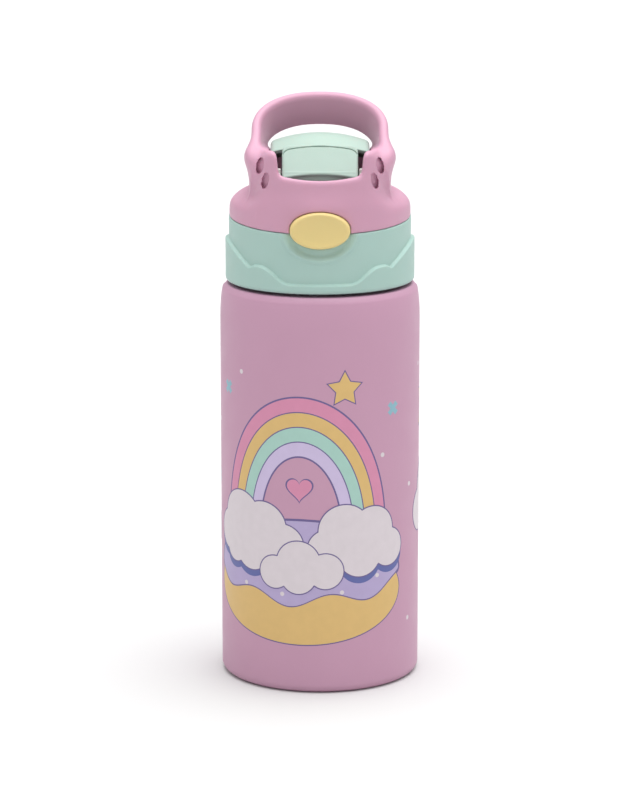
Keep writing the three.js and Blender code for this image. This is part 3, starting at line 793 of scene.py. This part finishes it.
def flip_field(x, y, z):
    """Crowned roof over the pivot, two hubs, and the front block with its catch lip."""
    ax = np.abs(x)
    py, pz = PIVOT
    top, foot = BLOCK_TOP, BLOCK_FOOT
    crown = CROWN_R - np.sqrt(np.maximum(CROWN_R ** 2 - x ** 2, 1))
    rr = np.hypot(y - py, z - pz)
    flat = (y - py) * math.cos(ROOF_TURN) + (z - pz) * math.sin(ROOF_TURN)
    past = (z - pz) * math.cos(ROOF_TURN) - (y - py) * math.sin(ROOF_TURN)
    barrel = np.where((past > 0) & (z > pz), flat, rr) - ROLL_R + crown
    ends = np.maximum(edge(y, z, (py + 10, pz + 5.3), (py, pz)), edge(y, z, (py, pz), top))
    roof = soft_max(soft_max(barrel, ax - ROLL_HALF, 1.6), ends, 0.6)
    roof = cut(roof, np.maximum(barrel + COVER_WALL, ax - CHEEK_IN), 0.3)
    hub = np.maximum(rr - 3.5, np.maximum(CHEEK_IN - ax, ax - ROLL_HALF))
    f = soft_min(roof, hub, 0.6)

    face = edge(y, z, foot, top)
    down = ((top[0] - y) * (top[0] - foot[0]) + (top[1] - z) * (top[1] - foot[1])) / math.dist(top, foot)
    corner = BLOCK_CORNER
    over, rise = np.maximum(ax - BLOCK_HALF + corner, 0), np.maximum(corner - 0.5 - down, 0)
    outline = np.where(down < corner - 0.5, np.hypot(over, rise) - corner, ax - BLOCK_HALF)
    outline = np.maximum(outline, ax - BLOCK_HALF)
    sag = 1.7 * np.maximum(1 - (x / BLOCK_HALF) ** 2, 0)
    slab = soft_max(soft_max(face, outline, 1.0), down - 14.1 + sag, 0.7)
    slab = np.maximum(slab, -1.9 - face)
    wall = soft_max(soft_max(face, outline, 1.0), 11.6 - ax, 0.3)
    wall = np.maximum(np.maximum(wall, -6.0 - face), down - 12.8)
    lip = soft_max(block(x, y, z, (-12.6, -22.1, 185.0), (12.6, -21.2, 189.0), 0.3), down - 15.6 + sag, 0.4)
    f = soft_min(soft_min(f, np.minimum(slab, wall), 0.5), lip, 0.4)
    bridge = np.maximum(np.maximum(barrel, ax - 12.0), np.maximum(-(barrel + 5.5), y + 9))
    f = np.minimum(f, np.maximum(bridge, np.maximum(-3.4 - face, face + 0.6)))

    under = corner + 0.3 + crown - down
    groove = np.abs(np.hypot(over, np.maximum(under, 0)) - corner) - 0.2
    groove = np.maximum(np.maximum(groove, -0.5 - face), np.maximum(-under, -1.5 - barrel))
    f = cut(f, groove, 0.15)

    boss = np.maximum(np.hypot(x, y - SPOUT_Y) - 5.6, np.maximum(PAD_TOP - z, barrel + 0.9))
    f = np.minimum(f, boss)
    return cut(f, rr - PIN_HOLE_R, 0.2)


def make_flip_cover():
    """The flip cover, its seal pad and its spring."""
    shell = solid(flip_field, (-17.9, -24.2, 180.9), (17.9, 13.5, 201.0), 0.25)
    add_piece("flip_cover_shell", *shell, PALE_MINT, "flip", "pale_mint_plastic", ["flip_cover"])
    pad = rounded([(0, PAD_BOTTOM), (4.5, PAD_BOTTOM), (4.5, PAD_TOP), (0, PAD_TOP)], 0.35)
    add_piece("cover_pad_silicone", *turned(pad, FINE, (0.0, SPOUT_Y)), SILICONE, "flip", "silicone",
              ["cover_seal_pad"])
    py, pz = PIVOT
    coil = [(12.9, py - 7, pz + 2.4), (12.9, py - 4, pz + 2.4)]
    for i in range(91):
        a = 5 * math.pi * i / 90
        coil.append((12.9 + 2 * i / 90, py + 2.4 * math.sin(a), pz + 2.4 * math.cos(a)))
    coil += [(14.9, py + 2.5, pz - 2.4), (14.9, py + 5, pz - 2.4)]
    add_piece("torsion_spring_wire", *swept(coil, 0.35, 10), SPRING, "flip", "spring_steel",
              ["torsion_spring"])


# ---- push button and latch ----------------------------------------------------------------------

def make_button():
    """The push button, the latch behind it and their spring."""
    profile = [
        (0, -34.2), (0.2, -34.21), (0.4, -34.25), (0.58, -34.33), (0.70, -34.45), (0.78, -34.58),
        (0.84, -34.68), (0.89, -34.70), (0.93, -34.60), (0.965, -34.30), (0.99, -33.85),
        (1.0, -33.3), (1.0, -32.0),
        (1.0, BUTTON_BACK + 0.3), (0.98, BUTTON_BACK), (0, BUTTON_BACK),
    ]
    points, faces = turned(profile, 160)
    across, upward = points[:, 0] * BUTTON_HALF_W, BUTTON_Z + points[:, 1] * BUTTON_HALF_H
    oval = np.stack([across, points[:, 2], upward], axis=1)
    add_piece("push_button_oval", oval, faces, YELLOW, "button", "yellow_plastic", ["push_button"])

    def latch_field(x, y, z):
        ax = np.abs(x)
        arm = block(ax, y, z, (5, BUTTON_BACK, 166.8), (8, -18.5, 172.6), 0.5)
        riser = block(ax, y, z, (5, -20.3, 170), (8, -18.5, 187.4), 0.5)
        bridge = block(x, y, z, (-8, -20.6, 184.6), (8, -18.5, 187.4), 0.5)
        return np.minimum(soft_min(arm, riser, 0.6), bridge)

    latch = solid(latch_field, (-8, BUTTON_BACK, 166.8), (8, -18.5, 187.4), 0.3)
    add_piece("latch_slide_frame", *latch, GREY, "button", "grey_plastic", ["latch_slide"])

    length = SPRING_SEAT_Y - BUTTON_BACK - 1.2
    wire = []
    for i in range(241):
        a = 12 * math.pi * i / 240
        wire.append((2.3 * math.cos(a), BUTTON_BACK + 0.6 + length * i / 240, BUTTON_Z + 2.3 * math.sin(a)))
    spring = add_piece("button_spring_wire", *swept(wire, 0.35, 10), SPRING, "button", "spring_steel",
                       ["button_spring"])
    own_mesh(spring)


# ---- print on the coat: rainbows, clouds, a hill, stars and hearts ------------------------------

PRINT_STRIP = 1.5
PRINT_LOWEST = 0.02
PRINT_STEP = 0.012
PRINT_ROOT = 0.15
LINE = 0.42

NAVY = ink("ink_navy", srgb(104, 92, 140))
SHADE = ink("ink_shade", srgb(92, 100, 158))
MUSTARD = ink("ink_mustard", srgb(212, 177, 113))
LAVENDER = ink("ink_lavender", srgb(174, 160, 198))
LILAC = ink("ink_lilac", srgb(196, 182, 214))
MINT_INK = ink("ink_mint", srgb(161, 198, 187))
ROSE = ink("ink_rose", srgb(206, 135, 165))
WHITE = ink("ink_white", srgb(210, 201, 206))
TURQUOISE = ink("ink_turquoise", srgb(134, 176, 190))


def decal(name, outlines, ink_material, layer):
    """Thin closed patches of ink wrapped round the body; an outline is (distance round, height) points."""
    flat = bmesh.new()
    for outline in outlines:
        corners = [flat.verts.new((u, v, 0)) for u, v in outline]
        for triangle in tessellate_polygon([[Vector((u, v, 0)) for u, v in outline]]):
            if len(set(triangle)) == 3:
                flat.faces.new([corners[i] for i in triangle])
    everything = [u for outline in outlines for u, _ in outline]
    first, last = math.ceil(min(everything) / PRINT_STRIP), math.floor(max(everything) / PRINT_STRIP)
    for k in range(first, last + 1):
        geometry = flat.verts[:] + flat.edges[:] + flat.faces[:]
        bmesh.ops.bisect_plane(flat, geom=geometry, dist=1e-4, plane_co=(k * PRINT_STRIP, 0, 0),
                               plane_no=(1, 0, 0))
    bmesh.ops.delete(flat, geom=[v for v in flat.verts if not v.link_faces], context="VERTS")
    flat.verts.index_update()
    plan = [(v.co.x, v.co.y) for v in flat.verts]
    faces = [[v.index for v in f.verts] for f in flat.faces]
    n = len(plan)
    walls = []
    for e in flat.edges:
        if len(e.link_faces) == 1:
            loop = next(c for c in e.link_faces[0].loops if c.edge == e)
            a, b = loop.vert.index, loop.link_loop_next.vert.index
            walls.append([b, a, a + n, b + n])
    flat.free()
    points = []
    for r in (BODY_R + PRINT_LOWEST + PRINT_STEP * layer, BODY_R - PRINT_ROOT - 0.01 * layer):
        points += [(r * math.sin(u / BODY_R), -r * math.cos(u / BODY_R), v) for u, v in plan]
    faces += [[i + n for i in reversed(f)] for f in faces] + walls
    return add_piece(name, points, faces, ink_material, "bottle")


def ellipse(cu, cv, a, b, steps=96):
    """A closed ellipse of half axes a and b."""
    angles = [2 * math.pi * i / steps for i in range(steps)]
    return [(cu + a * math.cos(t), cv + b * math.sin(t)) for t in angles]


def star(cu, cv, r, points=5, share=0.5, turn=90.0):
    """A star whose inner corners are at share of its radius."""
    made = []
    for i in range(2 * points):
        a = math.radians(turn + 180 * i / points)
        reach = r if i % 2 == 0 else r * share
        made.append((cu + reach * math.cos(a), cv + reach * math.sin(a)))
    return made


def heart(cu, cv, size):
    """A heart of half width size."""
    made = []
    for i in range(60):
        t = 2 * math.pi * i / 60
        u = 16 * math.sin(t) ** 3
        v = 13 * math.cos(t) - 5 * math.cos(2 * t) - 2 * math.cos(3 * t) - math.cos(4 * t)
        made.append((cu + size * u / 16, cv + size * v / 16))
    return made


def cross(cu, cv, r):
    """A small diagonal cross with square arm ends."""
    made = []
    for i in range(4):
        a = math.radians(45 + 90 * i)
        for turn, reach in ((-0.35, 1.0), (0.35, 1.0), (math.pi / 4, 0.42)):
            made.append((cu + r * reach * math.cos(a + turn), cv + r * reach * math.sin(a + turn)))
    return made


def cloud(cu, cv, puffs, grow=0.0, steps=240):
    """The outline of round puffs, seen from a centre that they all reach."""
    made = []
    for i in range(steps):
        a = 2 * math.pi * i / steps
        du, dv = math.cos(a), math.sin(a)
        far = 0.0
        for pu, pv, pr in puffs:
            along = (pu - cu) * du + (pv - cv) * dv
            off = (pr + grow) ** 2 - ((pu - cu) ** 2 + (pv - cv) ** 2 - along ** 2)
            if off > 0:
                far = max(far, along + math.sqrt(off))
        made.append((cu + far * du, cv + far * dv))
    return made


def bow(cu, cv, outer, inner, foot, steps=72):
    """A band between two upright half-ellipses, with legs down to foot."""
    def half(a, b):
        rim = [math.pi * i / steps for i in range(steps + 1)]
        return [(cu + a, foot), *[(cu + a * math.cos(t), cv + b * math.sin(t)) for t in rim], (cu - a, foot)]
    return half(*outer) + half(*inner)[::-1]


def rainbow(name, cu, cv, bands, foot, stripes):
    """A dark arch, then one stripe of ink between each two half-ellipses of bands."""
    (wide, tall), (narrow, low) = bands[0], bands[-1]
    whole = bow(cu, cv, (wide + LINE, tall + LINE), (narrow - LINE, low - LINE), foot)
    decal(f"{name}_line", [whole], NAVY, 0)
    trim = LINE / 2
    for (outer, inner), (color, tone) in zip(zip(bands, bands[1:]), stripes):
        shape = bow(cu, cv, (outer[0] - trim, outer[1] - trim), (inner[0] + trim, inner[1] + trim), foot)
        decal(f"{name}_{tone}", [shape], color, 1)


def hill_top(grow=0.0):
    """The upper part of the hill, with a wavy lower edge."""
    cu, cv, a, b = -7.5, 44.0, 40.5 + grow, 21.0 + grow
    crest = [(cu + a * math.cos(t), cv + b * math.sin(t)) for t in [math.pi * i / 80 for i in range(81)]]
    waves = []
    for i in range(1, 140):
        u = cu - a + 2 * a * i / 140
        sag = math.sqrt(max(0.0, 1 - ((u - cu) / a) ** 2))
        ripple = 2.3 * math.sin(0.21 * u + 0.8)
        waves.append((u, cv - 9.5 * sag + ripple * min(1.0, 1.6 * sag) - grow))
    return crest + waves


def make_print():
    """The front scene, the scattered marks, and the side and back motifs."""
    hill = (-7.5, 37.0, 40.5, 18.6)
    puffs_left = [(-40, 57, 7.5), (-33, 63, 10), (-22, 61, 9.5), (-14, 55, 8), (-27, 53, 8.5), (-36, 52, 6)]
    puffs_right = [(3, 54, 7.5), (9, 61, 9.5), (20, 60, 9), (27, 53, 7), (15, 52, 8.5)]
    puffs_low = [(-17, 45, 6), (-8, 49, 8), (2, 46, 6.5), (-8, 44, 6.5)]
    centres = ((-28, 57), (15, 56), (-8, 46))
    groups = (puffs_left, puffs_right, puffs_low)

    bands = [(33.0, 49.0), (28.6, 43.6), (24.2, 38.2), (19.8, 32.8), (15.4, 27.4)]
    stripes = ((ROSE, "rose"), (MUSTARD, "mustard"), (MINT_INK, "mint"), (LILAC, "lilac"))
    rainbow("print_rainbow", -7.5, 61, bands, 48, stripes)

    cu, cv, a, b = hill
    decal("print_hill_line", [ellipse(cu, cv, a + LINE, b + LINE), hill_top(LINE)], NAVY, 2)
    decal("print_hill_base", [ellipse(cu, cv, a, b)], MUSTARD, 3)
    decal("print_hill_wave_line", [hill_top(0.0)], NAVY, 4)
    decal("print_hill_top", [hill_top(-LINE)], LAVENDER, 5)
    shadow = []
    for (u, v), g in zip(centres[:2], groups):
        shadow.append(cloud(u, v - 2.2, [(pu, pv - 2.6, pr) for pu, pv, pr in g]))
    decal("print_cloud_shadow", shadow, SHADE, 6)
    for k, ((u, v), g) in enumerate(zip(centres, groups)):
        decal(f"print_cloud_line_{k}", [cloud(u, v, g, LINE)], NAVY, 7 + 2 * k)
        decal(f"print_cloud_{k}", [cloud(u, v, g)], WHITE, 8 + 2 * k)

    hill_dots = [(-30, 39), (-14, 37), (8, 38), (22, 43)]
    decal("print_hill_dots", [ellipse(u, v, 0.8, 0.8, 24) for u, v in hill_dots], WHITE, 6)

    decal("print_big_star_line", [star(9, 113, 7.2, share=0.52)], NAVY, 2)
    decal("print_big_star", [star(9, 113, 6.4, share=0.52)], MUSTARD, 3)
    decal("print_inner_heart_line", [heart(-7.5, 76.5, 5.2)], NAVY, 0)
    decal("print_inner_heart", [heart(-7.5, 76.5, 4.6)], ROSE, 1)

    marks = [(-41.4, 110), (29.3, 104), (-56, 74), (60, 36), (88, 112), (-84, 38), (-104, 96), (112, 60)]
    decal("print_marks", [cross(u, v, 2.9) for u, v in marks], TURQUOISE, 0)
    dots = [(24.3, 87.5), (39.3, 23.4), (-32.4, 117), (-52, 96), (-60, 22), (50, 117), (40, 74), (75, 22),
            (104, 88), (-72, 116), (-98, 60), (-110, 26), (98, 36), (-88, 84)]
    decal("print_dots", [ellipse(u, v, 0.85, 0.85, 24) for u, v in dots], WHITE, 0)

    side = [(52, 62, 8), (60, 70, 10), (72, 71, 11), (84, 65, 9), (92, 59, 6.5), (66, 60, 9), (78, 58, 8)]
    decal("print_side_cloud_line", [cloud(70, 63, side, LINE)], NAVY, 3)
    decal("print_side_cloud", [cloud(70, 63, side)], WHITE, 4)
    decal("print_side_star_line", [star(62, 100, 12.6, share=0.5, turn=70)], NAVY, 0)
    decal("print_side_star", [star(62, 100, 11.6, share=0.5, turn=70)], MUSTARD, 1)
    decal("print_side_star_heart", [heart(62, 100, 3.2)], ROSE, 2)
    decal("print_side_hearts_line", [heart(84, 92, 4.9), heart(66, 42, 4.3)], NAVY, 0)
    decal("print_side_hearts", [heart(84, 92, 4.3), heart(66, 42, 3.7)], LILAC, 1)

    small = [(20.0, 30.0), (16.6, 26.0), (13.2, 22.0), (9.8, 18.0)]
    rainbow("print_back_rainbow", -84, 66, small, 52, stripes[1:])
    feet = [[(-108, 54, 5.5), (-102, 58, 7), (-95, 54, 5.5)], [(-74, 54, 5.5), (-67, 58, 7), (-60, 54, 5.5)]]
    for k, (g, u) in enumerate(zip(feet, (-102, -67))):
        decal(f"print_back_cloud_line_{k}", [cloud(u, 55, g, LINE)], NAVY, 2 + 2 * k)
        decal(f"print_back_cloud_{k}", [cloud(u, 55, g)], WHITE, 3 + 2 * k)


make_bottle()
make_print()
make_lid_body()
make_spout()
make_top_cover()
make_flip_cover()
make_button()

# ---- floor, light and camera --------------------------------------------------------------------

def make_stage():
    """The plain pale floor."""
    mesh = bpy.data.meshes.new("floor")
    made = bmesh.new()
    bmesh.ops.create_grid(made, x_segments=40, y_segments=40, size=8.0)
    made.to_mesh(mesh)
    made.free()
    floor = bpy.data.objects.new("floor", mesh)
    bpy.context.scene.collection.objects.link(floor)
    look = Finish("floor_paper", (0.62, 0.62, 0.62, 1.0), 0.7, specular=0.1)
    look.mottle(2, 0.004).gloss(30, 0.03).grain(400, 0.02)
    mesh.materials.append(look.done())


def make_light():
    """A studio sky that is brighter overhead, and one very soft lamp."""
    world = bpy.data.worlds.new("studio")
    bpy.context.scene.world = world
    world.use_nodes = True
    background = world.node_tree.nodes["Background"]
    background.inputs["Color"].default_value = (1, 1, 1, 1)
    tree = world.node_tree
    place = tree.nodes.new("ShaderNodeTexCoord")
    split = tree.nodes.new("ShaderNodeSeparateXYZ")
    height = tree.nodes.new("ShaderNodeMapRange")
    for key, number in (("From Min", 0.0), ("From Max", 1.0), ("To Min", 0.36), ("To Max", 1.2)):
        height.inputs[key].default_value = number
    tree.links.new(place.outputs["Generated"], split.inputs["Vector"])
    tree.links.new(split.outputs["Z"], height.inputs["Value"])
    tree.links.new(height.outputs["Result"], background.inputs["Strength"])
    data = bpy.data.lights.new("soft_key", "SUN")
    data.energy, data.angle = 2.9, math.radians(60)
    lamp = bpy.data.objects.new("soft_key", data)
    lamp.rotation_euler = Vector((-0.12, -0.05, -0.98)).to_track_quat("-Z", "Y").to_euler()
    bpy.context.scene.collection.objects.link(lamp)


def make_camera():
    """A long lens, looking slightly down."""
    data = bpy.data.cameras.new("camera")
    data.lens, data.sensor_width, data.sensor_fit = 139.7, 36.0, "AUTO"
    data.clip_start, data.clip_end = 0.01, 50
    camera = bpy.data.objects.new("camera", data)
    camera.location = (0.0, -1.118, 0.343)
    camera.rotation_euler = Euler((math.radians(90 - 12.19), 0, 0))
    bpy.context.scene.collection.objects.link(camera)
    bpy.context.scene.camera = camera


make_stage()
make_light()
make_camera()
bpy.context.scene.view_settings.view_transform = "Standard"
